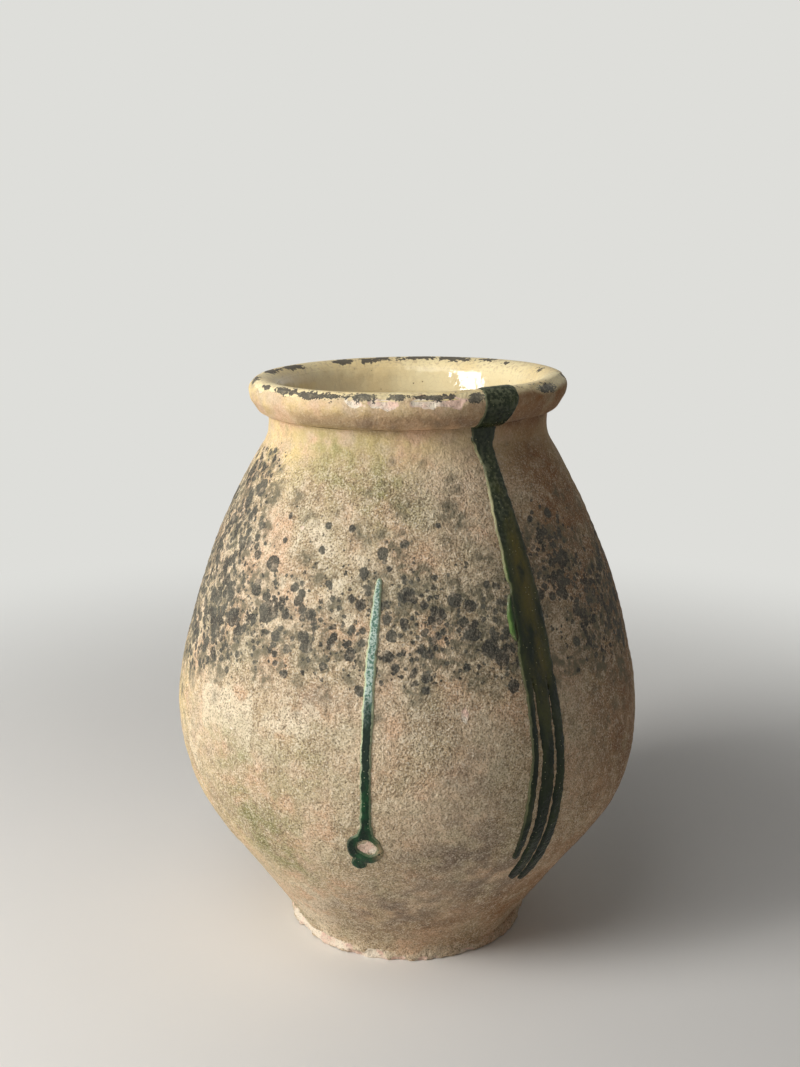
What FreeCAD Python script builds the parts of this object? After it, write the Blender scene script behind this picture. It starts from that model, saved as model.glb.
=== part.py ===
import FreeCAD, Part
import Sketcher
import math
import os
from collections import namedtuple

# Large earthenware olive jar, standing on its foot.
# The origin is the centre of the foot on the ground, +Z is up and the glaze runs face -Y.
# Lengths are millimetres. The run directions are degrees, turned from -Y towards +X.

SIZES = {
    # Body
    "jar_height": 700.0,
    "heel_radius": 147.0,
    "foot_ledge": 5.0,
    "foot_thickness": 16.0,
    "foot_rounding": 4.0,
    "belly_radius": 288.0,
    "belly_height": 296.0,
    "belly_arc": 251.0,
    "shoulder_start": 52.0,
    "neck_radius": 167.0,
    "neck_rise": 16.0,
    "neck_arc": 38.0,
    "wall_thickness": 20.0,
    "coil_leg": 26.0,
    # Rim
    "rim_rise": 42.0,
    "rim_overhang": 22.5,
    "rim_roll": 14.0,
    "lip_rounding": 24.0,
    # Glaze
    "lining_thickness": 0.8,
    "run_thickness": 2.5,
    # Main green run, seen square on: widths across it, heights from the ground
    "run_direction": 32.0,
    "run_pool_offset": 8.0,
    "run_pool_width": 54.0,
    "run_neck_offset": -5.5,
    "run_neck_width": 27.0,
    "run_belly_width": 52.0,
    "left_split_offset": -11.0,
    "left_split_height": 400.0,
    "right_split_offset": 10.0,
    "right_split_height": 365.0,
    "left_tail_offset": -22.0,
    "left_tail_width": 8.0,
    "left_tail_end": 180.0,
    "middle_tail_offset": -5.0,
    "middle_tail_width": 17.0,
    "middle_tail_end": 143.0,
    "right_tail_offset": 18.0,
    "right_tail_width": 18.0,
    "right_tail_end": 132.0,
    # Small green run, seen square on
    "small_run_direction": -9.1,
    "small_run_top_offset": 7.0,
    "small_run_top_height": 505.0,
    "small_run_top_width": 4.0,
    "small_run_taper": 65.0,
    "small_run_width": 9.0,
    "drop_offset": -3.0,
    "drop_height": 213.0,
    "drop_radius": 20.0,
    "drop_chip_radius": 8.5,
}

# Places that follow from the sizes: foot edge, joint under the rim, foot of the straight neck,
# and the circle along the crest of the rim
FOOT_RADIUS = "Sizes.heel_radius + Sizes.foot_ledge"
RIM_JOINT = "Sizes.jar_height - Sizes.rim_rise"
NECK_FOOT = "Sizes.jar_height - Sizes.rim_rise - Sizes.neck_rise"
CREST_RADIUS = "Sizes.neck_radius + Sizes.rim_overhang - Sizes.rim_roll"
TAILS = ("left_tail", "middle_tail", "right_tail")

# How a sketch numbers the places on a curve, its own origin and its upright axis
START, END, CENTRE = range(1, 4)


class Fixed:
    origin = (-1, START)
    axis = -2


# How far the cutting solids reach past the jar, and the bearing an outline is drawn at
TOOL_MARGIN = 60
OUTLINE_BEARING = 90

# How far a curve lies inside the jar's outer face: the amount, and the same as a formula
Depth = namedtuple("Depth", "amount formula")

doc = FreeCAD.newDocument("olive_jar")


def make_sheet():
    """Put every driving size in its own named cell."""
    sheet = doc.addObject("Spreadsheet::Sheet", "Sizes")
    for row, (name, number) in enumerate(SIZES.items(), start=1):
        sheet.set(f"A{row}", name)
        sheet.set(f"B{row}", str(number))
        sheet.setAlias(f"B{row}", name)
    doc.recompute()
    return sheet


sheet = make_sheet()
Size = namedtuple("Size", SIZES.keys())
size = Size(*(float(sheet.get(name)) for name in SIZES))

OUTER = Depth(0.0, "0")
INNER = Depth(size.wall_thickness, "Sizes.wall_thickness")
LINED = Depth(
    size.wall_thickness + size.lining_thickness,
    "Sizes.wall_thickness + Sizes.lining_thickness",
)
RUN_FACE = Depth(-size.run_thickness, "-Sizes.run_thickness")


# Plane geometry of the section: across is the radius, up is the height

def point(across, up):
    return FreeCAD.Vector(across, up, 0)


def from_centre(centre, radius, angle):
    return point(centre.x + radius * math.cos(angle), centre.y + radius * math.sin(angle))


def direction(start, end):
    return math.atan2(end.y - start.y, end.x - start.x)


def tangent_angle(start, centre, radius, side):
    """Where a line from start touches a circle, as an angle; side 1 or -1 picks the line."""
    distance = start.distanceToPoint(centre)
    return direction(centre, start) + side * math.acos(radius / distance)


def touching_radius(start, angle, centre, radius):
    """Radius of an arc that starts square to an angle and ends touching a circle outside it."""
    gap = start - centre
    outward = point(math.cos(angle), math.sin(angle))
    return (gap.dot(gap) - radius ** 2) / (2 * (radius + gap.dot(outward)))


rim_joint = size.jar_height - size.rim_rise
neck_foot = rim_joint - size.neck_rise
belly_centre = point(size.belly_radius - size.belly_arc, size.belly_height)
neck_centre = point(size.neck_radius + size.neck_arc, neck_foot)
belly_to_shoulder = math.asin(size.shoulder_start / size.belly_arc)
shoulder_foot = from_centre(belly_centre, size.belly_arc, belly_to_shoulder)
shoulder_arc = touching_radius(shoulder_foot, belly_to_shoulder, neck_centre, size.neck_arc)
shoulder_centre = from_centre(shoulder_foot, -shoulder_arc, belly_to_shoulder)
shoulder_to_neck = direction(shoulder_centre, neck_centre)
heel = point(size.heel_radius, size.foot_thickness)
lean = tangent_angle(heel, belly_centre, size.belly_arc, 1)
crest_radius = size.neck_radius + size.rim_overhang - size.rim_roll
roll_centre = point(crest_radius, size.jar_height - size.rim_roll)
lip_centre = point(crest_radius, size.jar_height - size.lip_rounding)


# Sketches: drawn in place, then held by constraints that read the sheet

def origin_plane(body, role):
    return next(item for item in body.Origin.OriginFeatures if item.Role == role)


def new_body(name, role):
    """A body with one sketch on the named plane of its own origin."""
    body = doc.addObject("PartDesign::Body", name)
    body.Label = name
    sketch = body.newObject("Sketcher::SketchObject", name + "_sketch")
    sketch.AttachmentSupport = [(origin_plane(body, role), "")]
    sketch.MapMode = "FlatFace"
    return body, sketch


def line(sketch, start, end, construction=False):
    return sketch.addGeometry(Part.LineSegment(start, end), construction)


def arc(sketch, centre, radius, first, last, construction=False):
    """Arc drawn anticlockwise from the first angle to the last."""
    circle = Part.Circle(centre, FreeCAD.Vector(0, 0, 1), radius)
    return sketch.addGeometry(Part.ArcOfCircle(circle, first, last), construction)


def hold(sketch, kind, *places):
    sketch.addConstraint(Sketcher.Constraint(kind, *places))


def measure(sketch, kind, places, formula):
    """Add a dimension and bind it to a formula of sheet cells."""
    number = float(sketch.evalExpression(formula))
    index = sketch.addConstraint(Sketcher.Constraint(kind, *places, number))
    sketch.setExpression(f"Constraints[{index}]", formula)


def measure_across(sketch, place, formula):
    measure(sketch, "DistanceX", (*Fixed.origin, *place), formula)


def measure_up(sketch, place, formula):
    measure(sketch, "DistanceY", (*Fixed.origin, *place), formula)


def measure_radius(sketch, curve, formula):
    measure(sketch, "Radius", (curve,), formula)


def join(sketch, first, second):
    hold(sketch, "Coincident", *first, *second)


def blend(sketch, first, second):
    """Join two ends so that one curve runs smoothly into the other."""
    hold(sketch, "Tangent", *first, *second)


def centre_belly_arc(sketch, curve):
    measure_across(sketch, (curve, CENTRE), "Sizes.belly_radius - Sizes.belly_arc")
    measure_up(sketch, (curve, CENTRE), "Sizes.belly_height")


def on_slope(depth, height):
    """Place at a height on the straight leaning wall, a depth inside its outer face."""
    touch = from_centre(belly_centre, size.belly_arc - depth, lean)
    return from_centre(touch, (height - touch.y) / math.cos(lean), lean + math.pi / 2)


def wall_foot(depth):
    """Where the wall at a depth stands on the slab."""
    return on_slope(depth.amount, size.foot_thickness)


def cove_corner(depth):
    """Sharp corner between the floor and the wall, which the cove rounds off."""
    return on_slope(depth.amount, size.foot_thickness + depth.amount - size.wall_thickness)


def cove_top(depth):
    """Where the cove runs out on the wall, one coil leg up from the corner."""
    return from_centre(cove_corner(depth), size.coil_leg, lean + math.pi / 2)


def draw_lower_curve(sketch, depth, foot, construction=False):
    """Leaning wall and lower belly at a depth; the wall is drawn from its foot, which is left free."""
    touch = from_centre(belly_centre, size.belly_arc, lean)
    guide = line(sketch, heel, touch, construction=True)
    guide_arc = arc(sketch, belly_centre, size.belly_arc, lean, 0, construction=True)
    measure_across(sketch, (guide, START), "Sizes.heel_radius")
    measure_up(sketch, (guide, START), "Sizes.foot_thickness")
    centre_belly_arc(sketch, guide_arc)
    measure_radius(sketch, guide_arc, "Sizes.belly_arc")
    measure_up(sketch, (guide_arc, END), "Sizes.belly_height")
    blend(sketch, (guide, END), (guide_arc, START))

    radius = size.belly_arc - depth.amount
    wall = line(sketch, foot, from_centre(belly_centre, radius, lean), construction)
    belly = arc(sketch, belly_centre, radius, lean, 0, construction)
    join(sketch, (belly, CENTRE), (guide_arc, CENTRE))
    measure_radius(sketch, belly, f"Sizes.belly_arc - ({depth.formula})")
    measure_up(sketch, (belly, END), "Sizes.belly_height")
    blend(sketch, (wall, END), (belly, START))
    hold(sketch, "Parallel", wall, guide)
    return wall, belly


def draw_upper_curve(sketch, depth, below=None):
    """Upper belly, shoulder and neck at a depth, from the seam or from the curve below it."""
    belly_radius = size.belly_arc - depth.amount
    hollow_radius = size.neck_arc + depth.amount
    neck_face = size.neck_radius - depth.amount
    belly = arc(sketch, belly_centre, belly_radius, 0, belly_to_shoulder)
    shoulder_radius = shoulder_arc - depth.amount
    shoulder = arc(sketch, shoulder_centre, shoulder_radius, belly_to_shoulder, shoulder_to_neck)
    hollow = arc(sketch, neck_centre, hollow_radius, math.pi, math.pi + shoulder_to_neck)
    neck = line(sketch, point(neck_face, neck_foot), point(neck_face, rim_joint))
    if below is None:
        centre_belly_arc(sketch, belly)
        measure_up(sketch, (belly, START), "Sizes.belly_height")
    else:
        blend(sketch, (below, END), (belly, START))
    measure_radius(sketch, belly, f"Sizes.belly_arc - ({depth.formula})")
    share = f"(1 - ({depth.formula}) / Sizes.belly_arc)"
    measure_up(sketch, (belly, END), f"Sizes.belly_height + Sizes.shoulder_start * {share}")
    measure_across(sketch, (hollow, CENTRE), "Sizes.neck_radius + Sizes.neck_arc")
    measure_up(sketch, (hollow, CENTRE), NECK_FOOT)
    measure_radius(sketch, hollow, f"Sizes.neck_arc + ({depth.formula})")
    blend(sketch, (belly, END), (shoulder, START))
    blend(sketch, (shoulder, END), (hollow, END))
    blend(sketch, (hollow, START), (neck, START))
    hold(sketch, "Vertical", neck)
    measure_up(sketch, (neck, END), RIM_JOINT)
    return belly, neck


def draw_rim_outside(sketch, depth):
    """Sloping underside and outer roll of the rim; the foot of the underside is left free."""
    radius = size.rim_roll - depth.amount
    joint = point(size.neck_radius - depth.amount, rim_joint)
    touch_angle = tangent_angle(joint, roll_centre, radius, 1)
    underside = line(sketch, joint, from_centre(roll_centre, radius, touch_angle))
    roll = arc(sketch, roll_centre, radius, touch_angle, math.pi / 2)
    measure_across(sketch, (roll, CENTRE), CREST_RADIUS)
    measure_up(sketch, (roll, CENTRE), "Sizes.jar_height - Sizes.rim_roll")
    measure_radius(sketch, roll, f"Sizes.rim_roll - ({depth.formula})")
    blend(sketch, (underside, END), (roll, START))
    hold(sketch, "Vertical", roll, END, roll, CENTRE)
    return underside, roll


def draw_rim_inside(sketch, depth):
    """Inner rounding of the lip and the slope to the neck; both ends are left free."""
    radius = size.lip_rounding + depth.amount - size.wall_thickness
    joint = point(size.neck_radius - depth.amount, rim_joint)
    touch_angle = tangent_angle(joint, lip_centre, radius, -1) % (2 * math.pi)
    lip = arc(sketch, lip_centre, radius, math.pi / 2, touch_angle)
    slope = line(sketch, from_centre(lip_centre, radius, touch_angle), joint)
    measure_radius(sketch, lip, f"Sizes.lip_rounding + ({depth.formula}) - Sizes.wall_thickness")
    blend(sketch, (lip, END), (slope, START))
    hold(sketch, "Vertical", lip, START, lip, CENTRE)
    return lip, slope


def draw_cove(sketch, wall, depth, construction=False):
    """Rounded corner between the floor and the foot of the wall, and its leg up the wall."""
    floor_formula = f"Sizes.foot_thickness + ({depth.formula}) - Sizes.wall_thickness"
    corner = cove_corner(depth)
    radius = size.coil_leg / math.tan((lean + math.pi / 2) / 2)
    centre = point(corner.x - size.coil_leg, corner.y + radius)
    cove = arc(sketch, centre, radius, -math.pi / 2, lean)
    leg = line(sketch, corner, cove_top(depth), construction)
    measure_up(sketch, (leg, START), floor_formula)
    measure(sketch, "Distance", (leg,), "Sizes.coil_leg")
    hold(sketch, "Parallel", leg, wall)
    join(sketch, (leg, END), (wall, START))
    blend(sketch, (cove, END), (wall, START))
    measure_up(sketch, (cove, START), floor_formula)
    hold(sketch, "Vertical", cove, START, cove, CENTRE)
    return cove, leg


def straight_to(sketch, place, end):
    """Line that carries on from a drawn end to a free point."""
    drawn = line(sketch, sketch.getPoint(*place), end)
    join(sketch, (drawn, START), place)
    return drawn


def bridge(sketch, first, second):
    """Straight line from one drawn end to another."""
    drawn = straight_to(sketch, first, sketch.getPoint(*second))
    join(sketch, (drawn, END), second)
    return drawn


def on_axis(sketch, place):
    hold(sketch, "PointOnObject", *place, Fixed.axis)


def revolve(body, sketch):
    """Turn the sketch right round the jar's axis."""
    turned = body.newObject("PartDesign::Revolution", body.Name + "_turned")
    turned.Profile = sketch
    turned.ReferenceAxis = (sketch, ["V_Axis"])
    turned.Angle = 360
    doc.recompute()
    return body


# Clay pieces

def make_base_slab():
    """Round-edged disc under the whole jar."""
    body, sketch = new_body("base_slab", "XZ_Plane")
    foot_radius = size.heel_radius + size.foot_ledge
    inset = foot_radius - size.foot_rounding
    upper_edge = size.foot_thickness - size.foot_rounding
    lower = arc(sketch, point(inset, size.foot_rounding), size.foot_rounding, -math.pi / 2, 0)
    upper = arc(sketch, point(inset, upper_edge), size.foot_rounding, 0, math.pi / 2)
    bottom = line(sketch, point(0, 0), point(inset, 0))
    side = line(sketch, point(foot_radius, size.foot_rounding), point(foot_radius, upper_edge))
    top = line(sketch, point(inset, size.foot_thickness), point(0, size.foot_thickness))
    join(sketch, (bottom, START), Fixed.origin)
    blend(sketch, (bottom, END), (lower, START))
    blend(sketch, (lower, END), (side, START))
    blend(sketch, (side, END), (upper, START))
    blend(sketch, (upper, END), (top, START))
    on_axis(sketch, (top, END))
    bridge(sketch, (top, END), (bottom, START))
    hold(sketch, "Horizontal", bottom)
    hold(sketch, "Vertical", side)
    hold(sketch, "Horizontal", top)
    measure_radius(sketch, lower, "Sizes.foot_rounding")
    measure_radius(sketch, upper, "Sizes.foot_rounding")
    measure_across(sketch, (side, START), FOOT_RADIUS)
    measure_up(sketch, (top, END), "Sizes.foot_thickness")
    return revolve(body, sketch)


def make_floor_coil():
    """Roll of clay smoothed into the corner between the floor and the wall."""
    body, sketch = new_body("floor_coil", "XZ_Plane")
    wall, _ = draw_lower_curve(sketch, INNER, cove_top(INNER), construction=True)
    cove, leg = draw_cove(sketch, wall, INNER)
    bridge(sketch, (cove, START), (leg, START))
    return revolve(body, sketch)


def make_lower_wall():
    """Lower course: leaning wall on the slab, curving up to the seam at the belly."""
    body, sketch = new_body("lower_wall", "XZ_Plane")
    outer_wall, outer_belly = draw_lower_curve(sketch, OUTER, wall_foot(OUTER))
    inner_wall, inner_belly = draw_lower_curve(sketch, INNER, wall_foot(INNER))
    measure_up(sketch, (outer_wall, START), "Sizes.foot_thickness")
    measure_up(sketch, (inner_wall, START), "Sizes.foot_thickness")
    bridge(sketch, (outer_belly, END), (inner_belly, END))
    bridge(sketch, (inner_wall, START), (outer_wall, START))
    return revolve(body, sketch)


def make_upper_wall():
    """Upper course: from the seam at the belly over the shoulder and up the neck."""
    body, sketch = new_body("upper_wall", "XZ_Plane")
    outer_belly, outer_neck = draw_upper_curve(sketch, OUTER)
    inner_belly, inner_neck = draw_upper_curve(sketch, INNER)
    bridge(sketch, (outer_neck, END), (inner_neck, END))
    bridge(sketch, (inner_belly, START), (outer_belly, START))
    return revolve(body, sketch)


def make_rim_roll():
    """Thick rim that leans out over the neck, with a rounded inner lip."""
    body, sketch = new_body("rim_roll", "XZ_Plane")
    underside, roll = draw_rim_outside(sketch, OUTER)
    lip, slope = draw_rim_inside(sketch, INNER)
    join(sketch, (roll, END), (lip, START))
    joint = bridge(sketch, (slope, END), (underside, START))
    hold(sketch, "Horizontal", joint)
    measure_up(sketch, (joint, START), RIM_JOINT)
    measure_across(sketch, (joint, START), "Sizes.neck_radius - Sizes.wall_thickness")
    measure_across(sketch, (joint, END), "Sizes.neck_radius")
    return revolve(body, sketch)


# Glaze: thin skins over the clay, each between two faces of the same form

def draw_inside(sketch, depth):
    """Inner face at a depth, from the crest of the rim down to the axis on the floor."""
    wall, lower_belly = draw_lower_curve(sketch, depth, cove_top(depth))
    _, neck = draw_upper_curve(sketch, depth, below=lower_belly)
    lip, slope = draw_rim_inside(sketch, depth)
    join(sketch, (slope, END), (neck, END))
    measure_across(sketch, (lip, START), CREST_RADIUS)
    measure_up(sketch, (lip, START), f"Sizes.jar_height + ({depth.formula}) - Sizes.wall_thickness")
    cove, _ = draw_cove(sketch, wall, depth, construction=True)
    floor = straight_to(sketch, (cove, START), point(0, sketch.getPoint(cove, START).y))
    hold(sketch, "Horizontal", floor)
    on_axis(sketch, (floor, END))
    return lip, floor


def make_inner_glaze():
    """Yellow lining of the floor, the inside wall and the inner half of the lip."""
    body, sketch = new_body("inner_glaze", "XZ_Plane")
    clay_lip, clay_floor = draw_inside(sketch, INNER)
    lip, floor = draw_inside(sketch, LINED)
    bridge(sketch, (clay_lip, START), (lip, START))
    bridge(sketch, (clay_floor, END), (floor, END))
    return revolve(body, sketch)


def draw_outside(sketch, depth):
    """Outer face at a depth, from the top of the slab up to the crest of the rim."""
    wall, lower_belly = draw_lower_curve(sketch, depth, wall_foot(depth))
    _, neck = draw_upper_curve(sketch, depth, below=lower_belly)
    underside, roll = draw_rim_outside(sketch, depth)
    join(sketch, (underside, START), (neck, END))
    measure_up(sketch, (wall, START), "Sizes.foot_thickness")
    return wall, roll


def make_raised_skin():
    """Skin as thick as the green runs over the whole outside, for the runs to be cut from."""
    body, sketch = new_body("raised_skin", "XZ_Plane")
    clay_wall, clay_roll = draw_outside(sketch, OUTER)
    wall, roll = draw_outside(sketch, RUN_FACE)
    bridge(sketch, (clay_roll, END), (roll, END))
    bridge(sketch, (clay_wall, START), (wall, START))
    return revolve(body, sketch)


def pin(sketch, place, across, up):
    measure_across(sketch, place, across)
    measure_up(sketch, place, up)


def straights(sketch, first, corners, last):
    """Straight edges from a drawn end, through pinned corners, to another drawn end."""
    place = first
    for across, up in corners:
        corner = point(float(sketch.evalExpression(across)), float(sketch.evalExpression(up)))
        edge = straight_to(sketch, place, corner)
        pin(sketch, (edge, END), across, up)
        place = (edge, END)
    bridge(sketch, place, last)


def draw_tail(sketch, name):
    """Round end of one tail of the main run."""
    offset = getattr(size, name + "_offset")
    radius = getattr(size, name + "_width") / 2
    centre = point(offset, getattr(size, name + "_end") + radius)
    tail = arc(sketch, centre, radius, math.pi, 2 * math.pi)
    pin(sketch, (tail, CENTRE), f"Sizes.{name}_offset", f"Sizes.{name}_end + Sizes.{name}_width / 2")
    measure_radius(sketch, tail, f"Sizes.{name}_width / 2")
    hold(sketch, "Horizontal", tail, START, tail, CENTRE)
    hold(sketch, "Horizontal", tail, END, tail, CENTRE)
    return tail


def push_out(body, sketch, bearing):
    """Carry an outline out from the axis past the belly, then turn it to its bearing."""
    pad = body.newObject("PartDesign::Pad", body.Name + "_pad")
    pad.Profile = sketch
    pad.setExpression("Length", f"Sizes.belly_radius + {TOOL_MARGIN}")
    body.Placement.Rotation = FreeCAD.Rotation(FreeCAD.Vector(0, 0, 1), 0)
    body.setExpression("Placement.Rotation.Angle", f"Sizes.{bearing} - {OUTLINE_BEARING}")
    doc.recompute()
    return body


def make_main_outline():
    """Outline of the main run: pool on the rim, trunk, and three tails."""
    body, sketch = new_body("main_outline", "YZ_Plane")
    left, middle, right = (draw_tail(sketch, name) for name in TAILS)
    stations = (
        ("0", "Sizes.run_belly_width", "Sizes.belly_height"),
        ("Sizes.run_neck_offset", "Sizes.run_neck_width", RIM_JOINT),
        ("Sizes.run_pool_offset", "Sizes.run_pool_width", "Sizes.jar_height - Sizes.rim_roll"),
        ("Sizes.run_pool_offset", "Sizes.run_pool_width", f"Sizes.jar_height + {TOOL_MARGIN}"),
    )
    right_side = [(f"{offset} + {width} / 2", up) for offset, width, up in stations]
    left_side = [(f"{offset} - {width} / 2", up) for offset, width, up in reversed(stations)]
    straights(sketch, (right, END), right_side + left_side, (left, START))
    left_split = ("Sizes.left_split_offset", "Sizes.left_split_height")
    right_split = ("Sizes.right_split_offset", "Sizes.right_split_height")
    straights(sketch, (left, END), [left_split], (middle, START))
    straights(sketch, (middle, END), [right_split], (right, START))
    return push_out(body, sketch, "run_direction")


def make_small_outline():
    """Outline of the small run: a thin streak, a round drop, and the chip in the drop."""
    body, sketch = new_body("small_outline", "YZ_Plane")
    centre = point(size.drop_offset, size.drop_height)
    half = size.small_run_width / 2
    right_mouth = math.acos((half - size.drop_offset) / size.drop_radius)
    left_mouth = math.acos((-half - size.drop_offset) / size.drop_radius)
    drop = arc(sketch, centre, size.drop_radius, left_mouth, right_mouth + 2 * math.pi)
    measure_across(sketch, (drop, CENTRE), "Sizes.drop_offset")
    measure_up(sketch, (drop, CENTRE), "Sizes.drop_height")
    measure_radius(sketch, drop, "Sizes.drop_radius")
    measure_across(sketch, (drop, START), "-Sizes.small_run_width / 2")
    measure_across(sketch, (drop, END), "Sizes.small_run_width / 2")
    top_middle = "Sizes.small_run_top_offset"
    top_half = "Sizes.small_run_top_width / 2"
    full_height = "Sizes.small_run_top_height - Sizes.small_run_taper"
    corners = [
        ("Sizes.small_run_width / 2", full_height),
        (f"{top_middle} + {top_half}", "Sizes.small_run_top_height"),
        (f"{top_middle} - {top_half}", "Sizes.small_run_top_height"),
        ("-Sizes.small_run_width / 2", full_height),
    ]
    straights(sketch, (drop, END), corners, (drop, START))
    chip_ring = Part.Circle(centre, FreeCAD.Vector(0, 0, 1), size.drop_chip_radius)
    chip = sketch.addGeometry(chip_ring, False)
    join(sketch, (chip, CENTRE), (drop, CENTRE))
    measure_radius(sketch, chip, "Sizes.drop_chip_radius")
    return push_out(body, sketch, "small_run_direction")


def make_run(name, skin, outline):
    """One green run: the part of the raised skin that lies inside its outline."""
    run = doc.addObject("Part::Common", name)
    run.Label = name
    run.Base = skin
    run.Tool = outline
    doc.recompute()
    return run


# Assembly and files

def check_objects():
    """Stop if any object failed to build."""
    for item in doc.Objects:
        if "Invalid" in item.State or "Error" in item.State:
            raise RuntimeError(f"{item.Name} did not build: {item.State}")
        if item.isDerivedFrom("Part::Feature") and (item.Shape.isNull() or not item.Shape.isValid()):
            raise RuntimeError(f"{item.Name} has no valid shape")


def write_pieces(pieces):
    os.makedirs("parts", exist_ok=True)
    for piece in pieces:
        if len(piece.Shape.Solids) != 1:
            raise RuntimeError(f"{piece.Label} is not one solid")
        piece.Shape.exportStep(f"parts/{piece.Label}.step")


skin = make_raised_skin()
pieces = [
    make_base_slab(),
    make_floor_coil(),
    make_lower_wall(),
    make_upper_wall(),
    make_rim_roll(),
    make_inner_glaze(),
    make_run("main_green_run", skin, make_main_outline()),
    make_run("small_green_run", skin, make_small_outline()),
]
doc.recompute()
check_objects()
write_pieces(pieces)
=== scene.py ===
import math
from collections import namedtuple

import bpy
import numpy as np
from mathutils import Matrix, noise


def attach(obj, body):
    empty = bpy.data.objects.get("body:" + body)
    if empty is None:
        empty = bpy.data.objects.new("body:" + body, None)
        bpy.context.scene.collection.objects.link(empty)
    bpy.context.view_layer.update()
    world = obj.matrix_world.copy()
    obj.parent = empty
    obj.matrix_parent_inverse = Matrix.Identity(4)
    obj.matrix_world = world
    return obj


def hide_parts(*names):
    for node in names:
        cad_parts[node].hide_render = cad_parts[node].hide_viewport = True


# Large earthenware olive jar with a yellow glaze lining and two green glaze runs.
# Lengths are metres in the solids' own frame: the origin is the centre of the foot on the ground,
# +Z is up and the front, with the runs, faces -Y. A bearing is an angle round the jar in degrees,
# from the front towards +X. A section is a list of (radius, height) places.

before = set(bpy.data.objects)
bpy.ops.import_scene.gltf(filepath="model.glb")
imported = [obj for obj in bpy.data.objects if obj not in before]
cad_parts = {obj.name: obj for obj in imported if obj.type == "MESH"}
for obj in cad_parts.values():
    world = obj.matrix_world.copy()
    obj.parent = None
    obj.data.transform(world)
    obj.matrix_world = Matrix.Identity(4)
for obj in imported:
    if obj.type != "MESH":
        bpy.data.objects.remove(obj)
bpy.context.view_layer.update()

# Sizes of the body, as in the solids
JAR_HEIGHT = 0.700
FOOT_RADIUS = 0.152
FOOT_TOP = 0.016
FOOT_ROUNDING = 0.004
HEEL_RADIUS = 0.147
BELLY_RADIUS = 0.288
BELLY_HEIGHT = 0.296
BELLY_ARC = 0.251
SHOULDER_START = 0.052
NECK_RADIUS = 0.167
NECK_FOOT = 0.642
NECK_ARC = 0.038
RIM_JOINT = 0.658
RIM_ROLL = 0.014
CREST_RADIUS = 0.1755
LIP_ROUNDING = 0.024
WALL = 0.020
COIL_LEG = 0.026

# Thickness of the glaze, and how far its hidden side lies under the clay's surface
LINING = 0.0012
RUN_THICKNESS = 0.0026
SMALL_RUN_THICKNESS = 0.8 * RUN_THICKNESS
SUNK = 0.0012

# Spacing of the mesh: places round the jar, steps along a section, and places along each arc
COLUMNS = 480
LINING_COLUMNS = 240
BODY_STEP = 0.0035
RIM_STEP = 0.0018
FOOT_STEP = 0.0016
LINING_STEP = 0.004
HIDDEN_STEP = 0.012
HIDDEN_ROWS = 3
RUN_STEP = 0.0012
ARC_PLACES = 60
# Edges bent by more degrees than this stay sharp, on most pieces and on the runs
SHARP_ANGLE = 50
RUN_SHARP_ANGLE = 70
# In a metre
MILLIMETRES = 1000


# Sections

def arc(centre, radius, first, last):
    """Places along an arc, from the first angle to the last."""
    angle = np.linspace(first, last, ARC_PLACES)
    return np.column_stack([centre[0] + radius * np.cos(angle), centre[1] + radius * np.sin(angle)])


def from_centre(centre, radius, angle):
    return np.array([centre[0] + radius * math.cos(angle), centre[1] + radius * math.sin(angle)])


def direction(start, end):
    return math.atan2(end[1] - start[1], end[0] - start[0])


def touch(start, centre, radius, side):
    """Angle at which a line from start touches a circle; side 1 or -1 picks the line."""
    return direction(centre, start) + side * math.acos(radius / math.dist(start, centre))


BELLY_CENTRE = (BELLY_RADIUS - BELLY_ARC, BELLY_HEIGHT)
NECK_CENTRE = (NECK_RADIUS + NECK_ARC, NECK_FOOT)
ROLL_CENTRE = (CREST_RADIUS, JAR_HEIGHT - RIM_ROLL)
LIP_CENTRE = (CREST_RADIUS, JAR_HEIGHT - LIP_ROUNDING)
LEAN = touch((HEEL_RADIUS, FOOT_TOP), BELLY_CENTRE, BELLY_ARC, 1)
SHOULDER_TURN = math.asin(SHOULDER_START / BELLY_ARC)


def shoulder_arc():
    """Centre and radius of the long arc that runs smoothly from the belly into the neck."""
    foot = from_centre(BELLY_CENTRE, BELLY_ARC, SHOULDER_TURN)
    gap = foot - NECK_CENTRE
    outward = np.array([math.cos(SHOULDER_TURN), math.sin(SHOULDER_TURN)])
    radius = (gap @ gap - NECK_ARC ** 2) / (2 * (NECK_ARC + gap @ outward))
    return foot - radius * outward, radius


def upper_face(depth):
    """Neck, shoulder and upper belly from the rim joint down, a depth inside the outer face."""
    centre, radius = shoulder_arc()
    neck_turn = direction(centre, NECK_CENTRE)
    return np.vstack([
        (NECK_RADIUS - depth, RIM_JOINT),
        arc(NECK_CENTRE, NECK_ARC + depth, math.pi, math.pi + neck_turn),
        arc(centre, radius - depth, neck_turn, SHOULDER_TURN),
        arc(BELLY_CENTRE, BELLY_ARC - depth, SHOULDER_TURN, 0),
    ])


def slope_place(depth, height):
    """Place at a height on the straight leaning wall, a depth inside its outer face."""
    start = from_centre(BELLY_CENTRE, BELLY_ARC - depth, LEAN)
    return from_centre(start, (height - start[1]) / math.cos(LEAN), LEAN + math.pi / 2)


def lower_face(depth):
    """Lower belly and leaning wall from the seam down to the slab."""
    return np.vstack([arc(BELLY_CENTRE, BELLY_ARC - depth, 0, LEAN), slope_place(depth, FOOT_TOP)])


def rim_outside():
    """Roll and sloping underside of the rim, from the crest down to the joint."""
    joint = (NECK_RADIUS, RIM_JOINT)
    last = touch(joint, ROLL_CENTRE, RIM_ROLL, 1)
    return np.vstack([arc(ROLL_CENTRE, RIM_ROLL, math.pi / 2, last), joint])


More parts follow.
